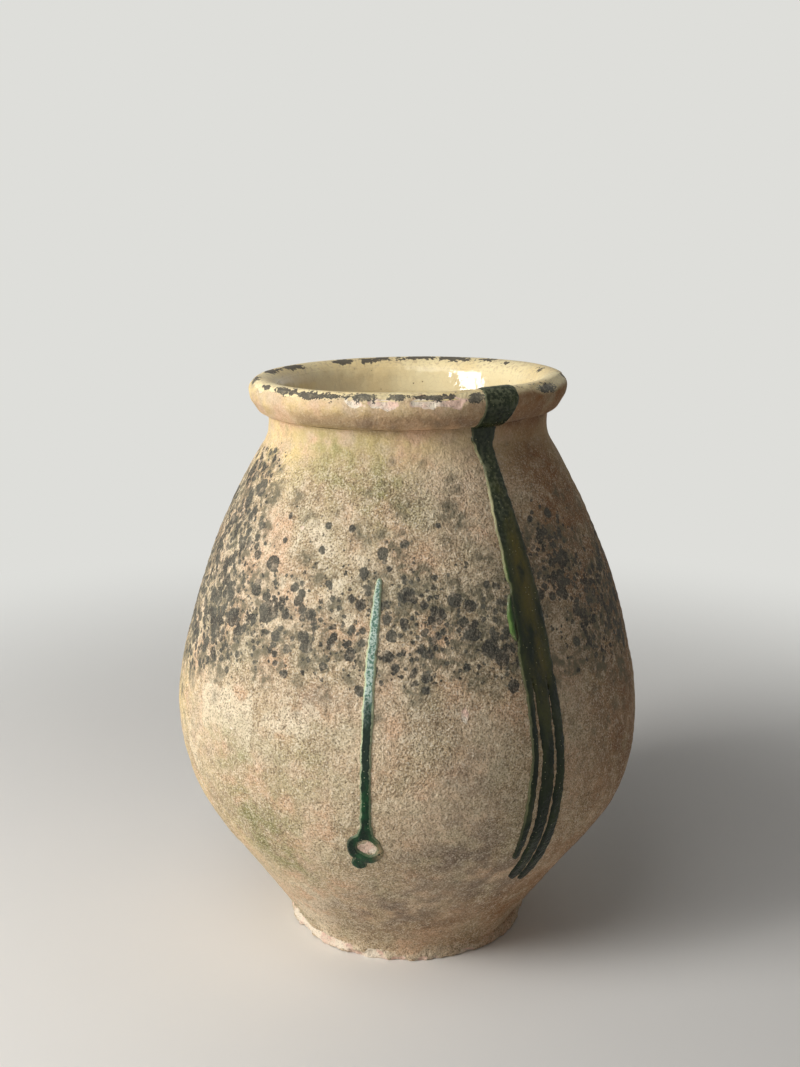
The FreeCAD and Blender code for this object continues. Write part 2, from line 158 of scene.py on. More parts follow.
def rim_inside():
    """Slope and inner rounding of the lip, from the joint up to the crest."""
    joint = (NECK_RADIUS - WALL, RIM_JOINT)
    first = touch(joint, LIP_CENTRE, LIP_ROUNDING, -1) % (2 * math.pi)
    return np.vstack([joint, arc(LIP_CENTRE, LIP_ROUNDING, first, math.pi / 2)])


def cove():
    """Rounded corner inside, from the floor up to the wall."""
    corner = slope_place(WALL, FOOT_TOP)
    radius = COIL_LEG / math.tan((LEAN + math.pi / 2) / 2)
    return arc((corner[0] - COIL_LEG, FOOT_TOP + radius), radius, -math.pi / 2, LEAN)


def lengths(section):
    """Distance along a section to each of its places."""
    return np.concatenate([[0], np.cumsum(np.linalg.norm(np.diff(section, axis=0), axis=1))])


def at(section, distance):
    """Places at given distances along a section."""
    along = lengths(section)
    return np.column_stack([np.interp(distance, along, section[:, axis]) for axis in (0, 1)])


def spaced(section, step):
    """The section with even steps of about the given size."""
    total = lengths(section)[-1]
    return at(section, np.linspace(0, total, max(2, round(total / step) + 1)))


# The form as a hand made it

def smooth(value, low, high):
    """0 below low, 1 above high, and a soft ramp between."""
    share = np.clip((value - low) / (high - low), 0, 1)
    return share * share * (3 - 2 * share)


def rough(points, size, octaves=3, shift=0.0):
    """Smooth noise, about -1 to 1, with its largest lumps of the given size; shift picks another."""
    flat = (points / size + shift).reshape(-1, 3).tolist()
    values = [noise.fractal(place, 1.0, 2.0, octaves) for place in flat]
    return np.array(values).reshape(points.shape[:-1])


def radius_of(points):
    return np.hypot(points[..., 0], points[..., 1])


def bearing_of(points):
    return np.degrees(np.arctan2(points[..., 0], -points[..., 1]))


def turned_by(bearing, middle):
    """How far a bearing lies from a middle one, from -180 to 180."""
    return (bearing - middle + 180) % 360 - 180


def all_round(columns):
    """Even bearings round the whole jar."""
    return np.arange(columns) * 360 / columns


def turn(section, bearings):
    """Points and outward directions of a section turned to each bearing: [row, column, xyz]."""
    along = np.gradient(section, axis=0)
    along /= np.linalg.norm(along, axis=1, keepdims=True)
    sine = np.sin(np.radians(bearings))
    cosine = np.cos(np.radians(bearings))

    def spread(across, up):
        level = np.outer(up, np.ones_like(sine))
        return np.stack([np.outer(across, sine), -np.outer(across, cosine), level], -1)

    return spread(section[:, 0], section[:, 1]), spread(-along[:, 1], along[:, 0])


# How the jar departs from a true round form: fuller low on the right, a slight oval and shallow
# dents above the foot, and the rim higher on the right
FULLER = 0.007
FULLER_HEIGHT = 0.20
FULLER_REACH = 0.08
OVAL = 0.0018
DENT = 0.0012
FREE_OF_FOOT = (0.02, 0.16)
RIM_LIFT = 0.0026
LIFT_FROM = 0.5


def sway(points):
    """Carry points from the true round form to the jar's; oval and dents twist on their way up."""
    angle = np.radians(bearing_of(points))
    height = points[..., 2]
    right = np.sin(angle)
    low = np.exp(-((height - FULLER_HEIGHT) / FULLER_REACH) ** 2)
    fuller = FULLER * np.clip(right, 0, 1) ** 1.5 * low
    free = smooth(height, *FREE_OF_FOOT)
    oval = OVAL * free * np.sin(2 * angle + 0.8 + 5 * height)
    dents = DENT * free * np.sin(3 * angle + 14 * height) * np.sin(9 * height + 1.0)
    out = fuller + oval + dents
    lift = RIM_LIFT * right * smooth(height, LIFT_FROM, JAR_HEIGHT)
    return points + np.stack([out * right, -out * np.cos(angle), lift], -1)


# Worked clay: throwing rings that drift and fade, lumps, and pits where noise is strong
RING_HEIGHT = 0.00035
RING_SPACING = 0.0125
RING_DRIFT = 0.006
RING_SHARE = 0.45
LUMP_HEIGHT = 0.0007
PIT_DEPTH = 0.0009
PIT_LIMITS = (0.42, 0.75)


def clay_relief(points):
    """Height of the worked clay over the smooth form: throwing rings, lumps and pits."""
    drift = RING_DRIFT * rough(points, 0.20, octaves=2)
    faint = np.clip(RING_SHARE + rough(points, 0.16, octaves=2, shift=7.3), 0, 1)
    rings = RING_HEIGHT * np.sin(2 * math.pi * (points[..., 2] + drift) / RING_SPACING) * faint
    lumps = LUMP_HEIGHT * rough(points, 0.035)
    pits = PIT_DEPTH * smooth(rough(points, 0.009, octaves=2, shift=3.1), *PIT_LIMITS)
    return rings + lumps - pits


# The lists of chips, crust, weathering and painted light and shade are in degrees and millimetres.
# Chips: bearing, radius and height of the middle, half width round the jar, reach across it, depth
RIM_CHIPS = (
    (-18.5, 188.5, 690.5, 9.5, 5.2, 2), (-9, 188.4, 690.5, 17.5, 6.2, 2.4),
    (5, 188.5, 690.5, 16, 5.5, 1.6), (15.5, 188.5, 690.5, 15, 6, 1.6), (-38, 185, 696, 6, 4, 1.2),
    (-64, 186, 695, 10, 5, 1.6), (71, 185, 696, 9, 5, 1.6), (108, 185.5, 695, 13, 6, 2),
    (152, 187, 693.5, 11, 5.5, 1.8), (-118, 185.5, 695, 12, 5.5, 1.8), (-162, 170, 699, 5, 3.5, 1.2),
)
BODY_CHIPS = (
    (-9.7, 273, 213, 13, 8.5, 1), (12.6, 277, 368, 4.2, 9.5, 0.8), (-44, 284, 327, 4, 3, 0.8),
    (-33, 213, 552, 5, 3, 0.8),
)
# Chips on the edge of the foot, without the radius
FOOT_CHIPS = (
    (-62, 10, 40, 8, 0.3), (-38, 9, 36, 7.5, 0.3), (-24, 3, 14, 6, 3.5), (-15, 6, 16, 8.5, 3),
    (-5, 2, 8, 5, 2.6), (6, 2, 7, 4.5, 3), (13, 1, 6, 5, 3.2), (29, 2, 12, 4.5, 2.2),
    (-58, 2, 16, 6, 2.6), (76, 3, 11, 5.5, 2.4), (127, 2, 15, 6, 3), (178, 3, 10, 5.5, 2.6),
    (-134, 2, 13, 6, 3),
)
# Dark crust on the rim, without a depth
RIM_CRUST = (
    (-83, 183, 697.5, 26, 6), (-60, 185, 696, 10, 4), (-49, 185, 696, 15, 5),
    (-36, 185.5, 695.5, 26, 6), (-27, 184.8, 696.2, 12, 3.6), (-15, 184.5, 696.5, 18, 6.2),
    (-4.5, 184, 697, 14, 5), (7, 183.2, 697.8, 30, 4.2), (24, 185, 696, 12, 6), (58, 185, 696, 20, 6),
    (84, 184, 697, 26, 5), (102, 169, 699, 12, 6), (129, 166, 698, 7, 5.5), (141, 169, 699, 13, 7),
    (122, 185.2, 695.8, 18, 5.5), (158, 169, 699, 26, 7.5), (163, 185.5, 695.5, 13, 6),
    (174, 169, 699, 30, 7), (-168, 168, 698.8, 12, 7.5), (-161, 166, 698, 9, 7.5),
    (-150, 167, 698.5, 16, 7), (-139, 185.2, 695.8, 20, 5.8), (-121, 169, 699, 28, 6.8),
    (-102, 172, 699.5, 20, 6.5),
)
# Share of a chip's width that is cut to its full depth, how far noise breaks up what is on the
# surface, and the field of a mark where there is none
CHIP_FLOOR = 0.55
BROKEN = 0.5
NO_MARK = -1.0


def marks(points, places):
    """Depth in metres cut by the marks at each point, and a field above zero inside them."""
    radius = radius_of(points) * MILLIMETRES
    height = points[..., 2] * MILLIMETRES
    ragged = 1 + BROKEN * rough(points, 0.010, octaves=2, shift=5.7)
    depth = np.zeros(radius.shape)
    inside = np.full(radius.shape, NO_MARK)
    for bearing, middle_radius, middle_height, width, reach, deepest in places:
        around = np.radians(turned_by(bearing_of(points), bearing)) * radius / width
        across = np.hypot(radius - middle_radius, height - middle_height) / reach
        distance = np.hypot(around, across) * ragged
        depth = np.maximum(depth, deepest * (1 - smooth(distance, CHIP_FLOOR, 1)))
        inside = np.maximum(inside, 1 - distance)
    return depth / MILLIMETRES, inside


# Weathering, and painted light and shade: bearing, height, half width in degrees, half height, strength
LICHEN = (
    (-60, 445, 15, 85, 1), (-84, 450, 24, 110, 1), (-68, 573, 15, 38, 0.95), (-66, 612, 14, 20, 0.5),
    (-68, 520, 16, 45, 0.6), (-40, 455, 14, 66, 0.6), (-28, 490, 42, 75, 0.26), (-19, 435, 12, 55, 0.5),
    (-1, 440, 11, 56, 0.52), (13, 455, 12, 65, 0.58), (24, 430, 9, 55, 0.52), (8, 500, 24, 60, 0.25),
    (46, 515, 12, 65, 0.92), (55, 440, 16, 65, 0.92), (76, 450, 18, 90, 0.75), (120, 460, 26, 90, 0.6),
    (165, 430, 26, 80, 0.75), (-150, 460, 26, 100, 0.8), (-115, 430, 22, 90, 0.85),
)
# Grey film that lies round the lichen and above it
FILM = LICHEN + (
    (-66, 500, 22, 100, 0.6), (-25, 400, 22, 28, 0.5), (8, 405, 18, 26, 0.45), (-8, 545, 26, 45, 0.38),
    (12, 585, 16, 45, 0.42), (55, 420, 24, 120, 0.5), (150, 540, 40, 60, 0.4),
)
ALGAE = (
    (-28, 613, 16, 35, 0.8), (-7, 587, 11, 40, 0.75), (-31, 645, 16, 12, 0.5), (-38, 245, 11, 60, 1),
    (-24, 305, 9, 30, 0.5), (-46, 305, 7, 30, 0.55), (-33, 180, 10, 40, 0.9), (125, 570, 30, 50, 0.6),
    (-160, 180, 34, 60, 0.65), (90, 120, 24, 40, 0.4),
)
# Dark stains, partly real and partly painted shade: on the right side away from the window, over the
# foot at the front and right, and under the roll of the rim
STAIN_AND_SHADE = (
    (10, 666, 80, 12, 0.75), (12, 185, 18, 60, 0.75), (16, 273, 8, 45, 0.45), (-20, 386, 14, 14, 0.55),
    (7, 365, 10, 20, 0.45), (28, 140, 10, 45, 0.7), (12, 310, 5, 30, 0.5), (0, 115, 20, 40, 0.6),
    (-12, 75, 26, 35, 0.5), (52, 450, 20, 140, 0.45), (75, 250, 24, 120, 0.35), (160, 140, 34, 60, 0.6),
    (-110, 100, 26, 40, 0.4),
)
# Ochre tint round the neck and rim, and painted light on the left side, which faces the window
OCHRE_AND_LIGHT = (
    (-60, 630, 34, 40, 0.9), (0, 645, 60, 22, 0.7), (-80, 680, 40, 24, 0.8), (-25, 676, 45, 18, 0.7),
    (-76, 280, 20, 100, 0.9), (-50, 160, 24, 70, 0.45), (70, 600, 30, 50, 0.45),
    (180, 630, 90, 30, 0.7),
)
PALE = (
    (-39, 331, 9, 45, 0.7), (-24, 357, 8, 22, 0.6), (-52, 350, 7, 30, 0.7), (-62, 270, 10, 60, 0.6),
    (-17, 485, 18, 70, 0.35), (-40, 536, 16, 50, 0.35), (-42, 50, 12, 30, 0.7), (-30, 110, 22, 50, 0.5),
    (0, 6, 80, 10, 0.7), (120, 240, 30, 70, 0.6), (-150, 280, 30, 70, 0.6),
)
# Brown on the clay: partly a rusty tint, and partly painted shade on the right side away from the
# window, low over the foot at the front and right, and under the roll of the rim
RUST_AND_SHADE = (
    (58, 570, 24, 100, 0.95), (72, 400, 28, 150, 0.9), (64, 220, 28, 110, 0.8),
    (-170, 330, 40, 80, 0.45), (48, 90, 36, 80, 0.8), (10, 60, 40, 50, 0.4), (10, 667, 80, 13, 0.7),
    (60, 690, 34, 30, 0.9), (180, 667, 90, 11, 0.5),
)
WEATHER_AND_PAINTED_LIGHT = {"film": FILM, "algae": ALGAE, "stain_and_shade": STAIN_AND_SHADE, "ochre_and_light": OCHRE_AND_LIGHT, "pale": PALE, "rust_and_shade": RUST_AND_SHADE}
# Browner patches in the lining: partly drips, and partly painted shade on the left inner wall, away
# from the window, and deep inside
LINING_BROWN_AND_SHADE = (
    (-100, 620, 50, 60, 0.55), (-60, 400, 40, 120, 0.6), (160, 300, 60, 120, 0.5),
    (60, 200, 60, 100, 0.55),
)
# Single rosettes of lichen on the front: bearing, height, radius
ROSETTES = (
    (-40, 511, 9), (-38, 461, 12), (-42, 450, 5), (-29, 479, 6.5), (-31, 492, 5.5), (-25, 467, 7),
    (-25, 532, 4.5), (-24.5, 557, 4), (-12, 514, 5.5), (-7, 533, 6.5), (-1, 543, 5.5), (-5, 518, 4),
    (-17, 556, 4.5), (-11, 498, 5), (-12, 482, 6.5), (-13.5, 457, 4.5), (-4, 451, 7), (-1, 465, 5.5),
    (3, 438, 5.5), (-3, 420, 5), (-58, 582, 10), (-61, 546, 5), (-56, 555, 6.5), (-39, 562, 3.5),
    (-38, 537, 3.5), (-55, 470, 11), (-56, 435, 8), (-18, 447, 4.5), (-15, 440, 4), (-34, 439, 6.5),
    (-30, 402, 5.5), (-21, 499, 4.5), (-11, 395, 6.5), (4, 411, 5.5), (9, 561, 3.5), (24, 495, 5),
    (6, 466, 5.5), (14, 462, 6), (16, 452, 6.5), (7, 450, 4.5), (5, 432, 5), (24.5, 429, 7),
    (1, 412, 4.5), (4, 396, 4.5), (25, 392, 7.5), (21, 450, 4.5), (43, 542, 5.5), (41, 557, 4),
)
FAR_FROM_ROSETTES = -20.0

# Thin line of crust along the crest of the rim: its strength, and where it gives out
CREST_CRUST = -0.14
CREST_CRUST_RADIUS = 0.180
CREST_CRUST_WIDTH = 0.012
CREST_CRUST_BOTTOM = 0.690
CREST_CRUST_FADE = 0.004
# Height at which the lichen stops: at the sides, how much higher at the front, and how it strays
LICHEN_STOP = 0.345
LICHEN_STOP_RISE = 0.045
LICHEN_STOP_STRAY = 0.014
LICHEN_STOP_LIMITS = (-0.014, 0.016)


def rim_crust(points):
    """Field above zero where dark crust lies on the rim, and near zero along the crest."""
    aside = np.abs(radius_of(points) - CREST_CRUST_RADIUS) / CREST_CRUST_WIDTH
    below = np.maximum(0, CREST_CRUST_BOTTOM - points[..., 2]) / CREST_CRUST_FADE
    flat = [(*place, 0) for place in RIM_CRUST]
    return np.maximum(marks(points, flat)[1], CREST_CRUST - aside - below)


def patches(points, places):
    """Sum of soft patches at each point, broken up by noise."""
    bearing = bearing_of(points)
    level = points[..., 2] * MILLIMETRES
    total = np.zeros(bearing.shape)
    for middle, height, width, tall, strength in places:
        around = turned_by(bearing, middle) / width
        up = (level - height) / tall
        total += strength * np.exp(-(around ** 2 + up ** 2))
    return np.clip(total * (1 + BROKEN * rough(points, 0.06, shift=11.0)), 0, 1)


def lichen_cover(points):
    """How thickly lichen grows: a band round the shoulder that stops short above the belly."""
    stop = LICHEN_STOP + LICHEN_STOP_RISE * np.cos(np.radians(bearing_of(points)))
    above = points[..., 2] - stop + LICHEN_STOP_STRAY * rough(points, 0.05, shift=4.0)
    return patches(points, LICHEN) * smooth(above, *LICHEN_STOP_LIMITS)


def rosettes(points):
    """Millimetres inside the nearest rosette, negative outside them all."""
    bearing = bearing_of(points)
    radius = radius_of(points) * MILLIMETRES
    inside = np.full(bearing.shape, FAR_FROM_ROSETTES)
    for middle, height, size in ROSETTES:
        across = np.radians(turned_by(bearing, middle)) * radius
        up = points[..., 2] * MILLIMETRES - height
        inside = np.maximum(inside, size - np.hypot(across, up))
    return inside


def clay_masks(points):
    """Weathering, painted shade and painted light of the clay at each point; some pieces put in their
    own chips, crust or glaze.
    """
    masks = {mask: patches(points, places) for mask, places in WEATHER_AND_PAINTED_LIGHT.items()}
    masks["lichen"] = lichen_cover(points)
    masks["rosette"] = rosettes(points)
    masks["fresh"] = np.full(points.shape[:-1], NO_MARK)
    masks["crust"] = np.full(points.shape[:-1], NO_MARK)
    masks["glazed"] = np.zeros(points.shape[:-1])
    return masks


# Meshes

def new_piece(name, points, faces, masks, sharp=SHARP_ANGLE):
    """A smooth shaded object from points and faces, with a number at each point for every mask."""
    mesh = bpy.data.meshes.new(name)
    mesh.from_pydata(points.reshape(-1, 3).tolist(), [], faces)
    for mask, values in masks.items():
        attribute = mesh.attributes.new(mask, "FLOAT", "POINT")
        attribute.data.foreach_set("value", np.ascontiguousarray(values, np.float32).ravel())
    mesh.shade_smooth()
    mesh.set_sharp_from_angle(angle=math.radians(sharp))
    mesh.validate()
    piece = bpy.data.objects.new(name, mesh)
    bpy.context.scene.collection.objects.link(piece)
    return piece


def ring_faces(rows, columns, closed):
    """Quads between neighbouring rings; closed joins the last ring to the first."""
    row = np.arange(rows if closed else rows - 1)[:, None]
    column = np.arange(columns)[None, :]
    here = row * columns
    below = (row + 1) % rows * columns
    beside = (column + 1) % columns
    corners = (here + column, below + column, below + beside, here + beside)
    return np.stack(corners, -1).reshape(-1, 4).tolist()


def ring_piece(name, rings, masks):
    """Closed ring: the last row of points joins the first."""
    return new_piece(name, rings, ring_faces(rings.shape[0], rings.shape[1], True), masks)


def bowl_piece(name, rings, masks):
    """Closed form whose first and last rows close on the axis."""
    rows, columns = rings.shape[:2]
    points = np.vstack([rings.reshape(-1, 3), rings[0].mean(0), rings[-1].mean(0)])
    masks = {
        mask: np.append(values.ravel(), [values[0].mean(), values[-1].mean()])
        for mask, values in masks.items()
    }
    faces = ring_faces(rows, columns, False)
    first = rows * columns
    last = first + 1
    for column in range(columns):
        beside = (column + 1) % columns
        faces.append([first, column, beside])
        faces.append([last, first - columns + beside, first - columns + column])
    return new_piece(name, points, faces, masks)


# Clay smeared over the heel at the front, and the swelling under the roll of the rim
HEEL_FILL = 0.0045
HEEL_FILL_REACH = 0.011
HEEL_FILL_MIDDLE = -5
RIM_SWELLING = 0.0048
SWELLING_START = 0.45
SWELLING_LEAN = 1.4


def heel_fill(points):
    """Clay smeared into the corner over the foot at the front, where the ledge is lost."""
    front = smooth(np.cos(np.radians(bearing_of(points) - HEEL_FILL_MIDDLE)), 0.25, 0.75)
    return HEEL_FILL * front * np.exp(-(points[..., 2] - FOOT_TOP) / HEEL_FILL_REACH)


def rim_fullness(down):
    """Swelling of the underside of the roll at a distance down from the crest; it ends in a crease."""
    share = down / lengths(rim_outside())[-1]
    share = np.clip((share - SWELLING_START) / (1 - SWELLING_START), 0, 1)
    return RIM_SWELLING * np.sin(math.pi * share ** SWELLING_LEAN)[:, None]


def wall_piece(name, face):
    """One course of the body: a worked outer face, and a plain inner face behind the lining."""
    bearings = all_round(COLUMNS)
    points, outward = turn(spaced(face(0), BODY_STEP), bearings)
    depth, fresh = marks(points, BODY_CHIPS)
    worked = sway(points) + outward * (clay_relief(points) + heel_fill(points) - depth)[..., None]
    inner, _ = turn(spaced(face(WALL)[::-1], HIDDEN_STEP), bearings)
    rings = np.concatenate([worked, sway(inner)])
    masks = clay_masks(rings)
    masks["fresh"][:len(points)] = fresh
    return ring_piece(name, rings, masks)


def make_upper_body():
    return wall_piece("upper_body", upper_face)


def make_lower_body():
    return wall_piece("lower_body", lower_face)


# Rim: how uneven its roll is, and the heights between which the lining's glaze runs out over it
RIM_UNEVEN = 0.0012
GLAZED = (0.690, 0.698)
GLAZED_STRAY = 0.004


def make_rim():
    """Rolled rim: battered on the outside, plain where the lining covers it and along the crest."""
    bearings = all_round(COLUMNS)
    section = spaced(rim_outside(), RIM_STEP)
    points, outward = turn(section, bearings)
    depth, fresh = marks(points, RIM_CHIPS)
    uneven = RIM_UNEVEN * rough(points, 0.07, octaves=2, shift=1.7)
    raised = clay_relief(points) + uneven + rim_fullness(lengths(section)) - depth
    worked = sway(points) + outward * raised[..., None]
    worked[0] = sway(points)[0]
    inner, _ = turn(spaced(rim_inside(), RIM_STEP)[:-1], bearings)
    rings = np.concatenate([worked, sway(inner)])
    masks = clay_masks(rings)
    masks["fresh"][:len(points)] = fresh
    masks["crust"] = rim_crust(rings)
    masks["glazed"] = smooth(rings[..., 2] + GLAZED_STRAY * rough(rings, 0.03, shift=9.0), *GLAZED)
    return ring_piece("rim", rings, masks)


# Foot: plain rings inside its worked edge, how far that edge goes in underneath, and its crumbs
FOOT_RINGS = (0.03, 0.08)
UNDERSIDE_EDGE = 0.02
CRUMBS = 0.0016
FINE_CRUMBS = 0.0011


def make_foot():
    """Foot disc with a crumbled lower edge; its underside stays flat."""
    bearings = all_round(COLUMNS)
    inset = FOOT_RADIUS - FOOT_ROUNDING
    edge = np.vstack([
        (HEEL_RADIUS - WALL / 2, FOOT_TOP),
        arc((inset, FOOT_TOP - FOOT_ROUNDING), FOOT_ROUNDING, math.pi / 2, 0),
        arc((inset, FOOT_ROUNDING), FOOT_ROUNDING, 0, -math.pi / 2),
        (inset - UNDERSIDE_EDGE, 0),
    ])
    points, outward = turn(spaced(edge, FOOT_STEP), bearings)
    chips = [(bearing, FOOT_RADIUS * MILLIMETRES, *rest) for bearing, *rest in FOOT_CHIPS]
    depth, fresh = marks(points, chips)
    crumbs = CRUMBS * rough(points, 0.022, shift=8.0)
    crumbs += FINE_CRUMBS * rough(points, 0.008, octaves=2, shift=6.0)
    worked = points + outward * (crumbs - depth)[..., None]
    worked[..., 2] = np.maximum(0, worked[..., 2])
    top, _ = turn(np.array([(radius, FOOT_TOP) for radius in FOOT_RINGS]), bearings)
    bottom, _ = turn(np.array([(radius, 0.0) for radius in FOOT_RINGS[::-1]]), bearings)
    rings = np.concatenate([top, worked, bottom])
    masks = clay_masks(rings)
    masks["fresh"][len(top):-len(bottom)] = fresh
    return bowl_piece("foot", rings, masks)


def make_corner_coil():
    """Roll of clay behind the lining, in the corner between floor and wall."""
    section = np.vstack([slope_place(WALL, FOOT_TOP), spaced(cove(), HIDDEN_STEP)])
    rings = sway(turn(section, all_round(LINING_COLUMNS))[0])
    return ring_piece("corner_coil", rings, clay_masks(rings))


# Lining: radius of its first ring, rows that reach over the crest, its ragged edge there, its
# ripple, and the heights between which it gets worn
LINING_START = 0.02
ROWS_OVER = 8
EDGE_REACH = 0.007
EDGE_STRAY = 0.006
EDGE_SOFTNESS = 0.002
EDGE_BURIED = 0.0006
RIPPLE = 0.0003
WORN = (0.682, 0.697)


def make_lining():
    """Yellow glaze over the floor, the inside and the lip, worn to a ragged edge on the rim."""
    inside = np.vstack([
        (LINING_START, FOOT_TOP),
        cove(),
        lower_face(WALL)[:-1][::-1],
        upper_face(WALL)[::-1][1:],
        rim_inside()[1:],
    ])
    over = at(rim_outside(), np.arange(1, ROWS_OVER + 1) * RIM_STEP)
    section = np.vstack([spaced(inside, LINING_STEP), over])
    points, outward = turn(section, all_round(LINING_COLUMNS))
    past_crest = np.maximum(0, lengths(section) - lengths(section)[-len(over) - 1])[:, None]
    edge = EDGE_REACH + EDGE_STRAY * rough(points, 0.030, shift=2.5)
    left = 1 - smooth(past_crest, edge - EDGE_SOFTNESS, edge + EDGE_SOFTNESS)
    ripple = RIPPLE * rough(points, 0.05, octaves=2, shift=6.6)
    thickness = LINING * left - EDGE_BURIED * (1 - left) + ripple * left
    shown = sway(points) + outward * thickness[..., None]
    back = (sway(points) - outward * SUNK)[::-HIDDEN_ROWS]
    rings = np.concatenate([shown, back])
    masks = {
        "crust": rim_crust(rings),
        "brown_and_shade": patches(rings, LINING_BROWN_AND_SHADE),
        "worn": smooth(rings[..., 2], *WORN),
    }
    return bowl_piece("lining", rings, masks)


# Green runs

OVER_RIM = np.vstack([rim_inside(), rim_outside()[1:], upper_face(0)[1:], lower_face(0)[1:]])
CREST = lengths(rim_inside())[-1]


def down_to(height):
    """Distance down the outside from the crest to a height on the body."""
    outside = OVER_RIM[lengths(OVER_RIM) > CREST + lengths(rim_outside())[-1]]
    along = lengths(OVER_RIM)[-len(outside):] - CREST
    return np.interp(-height, -outside[:, 1], along)


def on_body(*rows):
    """Rows whose height on the body is turned into the distance down from the crest."""
    return tuple((down_to(height), left, right) for height, left, right in rows)


# Edges of each stream of glaze: distance down from the crest, or height on the body, and the left
# and right bearings
TRUNK = (
    (-0.012, 27.5, 40.0), (0.004, 26.6, 41.0), (0.020, 26.6, 40.5), (0.036, 26.2, 39.0),
    (0.050, 25.0, 36.8),
    *on_body(
        (0.652, 25.4, 35.6), (0.640, 26.0, 35.0), (0.615, 28.2, 35.2), (0.590, 27.7, 35.2),
        (0.550, 27.2, 35.6), (0.528, 27.5, 36.0), (0.510, 27.1, 36.2), (0.490, 28.0, 36.5),
        (0.472, 27.8, 36.7), (0.445, 27.7, 36.8), (0.430, 27.5, 36.8), (0.395, 27.5, 36.8),
    ),
)
BULGE = on_body(
    (0.484, 27.2, 27.9), (0.474, 26.2, 27.9), (0.452, 25.8, 27.8), (0.437, 26.9, 27.7),
)
LEFT_TAIL = on_body(
    (0.425, 27.2, 30.3), (0.404, 27.5, 29.9), (0.38, 28, 30), (0.345, 28, 29.9), (0.314, 28.1, 29.8),
    (0.283, 27.4, 29.4), (0.242, 26.9, 29), (0.181, 26.4, 28.4),
)
MIDDLE_TAIL = on_body(
    (0.425, 29.6, 34.6), (0.404, 29.7, 34.5), (0.38, 30.5, 34.3), (0.345, 30.5, 33.9),
    (0.314, 30.9, 34), (0.283, 30.5, 34), (0.242, 30.2, 33.4), (0.2, 29.9, 33.1), (0.143, 28.2, 32.2),
)
RIGHT_TAIL = on_body(
    (0.425, 33.6, 36.6), (0.38, 34.5, 36.9), (0.348, 34.5, 37.2), (0.315, 34.7, 37.1),
    (0.287, 34.8, 37), (0.246, 34.2, 36.9), (0.204, 33.9, 36.9), (0.168, 33.4, 36.8),
    (0.134, 32.8, 36.3),
)
SMALL_STREAM = on_body(
    (0.507, -8.2, -7.1), (0.497, -8.8, -6.9), (0.467, -9.2, -6.9), (0.433, -9.7, -7.4),
    (0.375, -10.1, -7.6), (0.311, -10.2, -8), (0.272, -10.3, -8.1), (0.246, -10.5, -8.1),
    (0.232, -11.4, -7.8), (0.222, -11.8, -7.8),
)
# The drop at the foot of the small run, the chip out of it and a last bead: bearing, distance down,
# half width, how many times longer than wide, tilt
DROP = (-9.9, down_to(0.212), 0.0202, 1.12, 0.0)
DROP_CHIP = (-9.4, down_to(0.214), 0.0116, 0.90, math.radians(30))
DROP_BEAD = (-11.7, down_to(0.190), 0.0095, 1.0, 0.0)

# A run's edge: how far it strays, and its rounding in thicknesses. How uneven the run is, how much
# of the clay's relief lies under it and how much of that it hides, and how deep its underside lies
EDGE_WANDER = 0.0012
EDGE_ROUNDING = 1.3
RUN_UNEVEN = 0.25
RELIEF_UNDER = 0.9
RELIEF_HIDDEN = 0.7
UNDERSIDE = 1.6 * SUNK


def stream(bearing, station, radius, edges, blunt):
    """Metres inside a stream, negative outside; its end is rounded over blunt half widths."""
    down, left, right = np.array(edges).T
    middle = np.interp(station, down, (left + right) / 2)
    half = np.radians(np.interp(station, down, (right - left) / 2)) * radius
    to_end = np.clip((down[-1] - station) / (blunt * half), 0, 1)
    half = half * np.sqrt(1 - (1 - to_end) ** 2)
    beyond = np.maximum(0, station - down[-1]) + np.maximum(0, down[0] - station)
    return half - np.abs(np.radians(bearing - middle)) * radius - beyond


def blob(bearing, station, radius, place):
    """Metres inside a round or tilted oval blob, negative outside."""
    middle, distance, size, long, tilt = place
    across = np.radians(bearing - middle) * radius
    down = station - distance
    along = across * math.cos(tilt) + down * math.sin(tilt)
    aside = down * math.cos(tilt) - across * math.sin(tilt)
    return size - np.hypot(along, aside / long)


def main_form(bearing, station, radius):
    streams = [stream(bearing, station, radius, TRUNK, blunt=0.3)]
    for edges in (BULGE, LEFT_TAIL, MIDDLE_TAIL, RIGHT_TAIL):
        streams.append(stream(bearing, station, radius, edges, blunt=1.6))
    return np.maximum.reduce(streams)


def small_form(bearing, station, radius):
    thread = stream(bearing, station, radius, SMALL_STREAM, blunt=0.6)
    beads = [blob(bearing, station, radius, place) for place in (DROP, DROP_BEAD)]
    return np.minimum(np.maximum.reduce([thread, *beads]), -blob(bearing, station, radius, DROP_CHIP))


def shell_faces(keep):
    """Faces of a closed shell over the kept cells of a grid: its top, its underside and its edge."""
    rows, columns = keep.shape
    index = np.arange((rows + 1) * (columns + 1)).reshape(rows + 1, columns + 1)
    cells = np.stack([index[:-1, :-1], index[1:, :-1], index[1:, 1:], index[:-1, 1:]], -1)[keep]
    under = index.size
    edges = np.concatenate([cells[:, [k, (k + 1) % 4]] for k in range(4)])
    back = {(b, a) for a, b in edges.tolist()}
    rim = [[b, a, a + under, b + under] for a, b in edges.tolist() if (a, b) not in back]
    return cells.tolist() + (cells[:, ::-1] + under).tolist() + rim


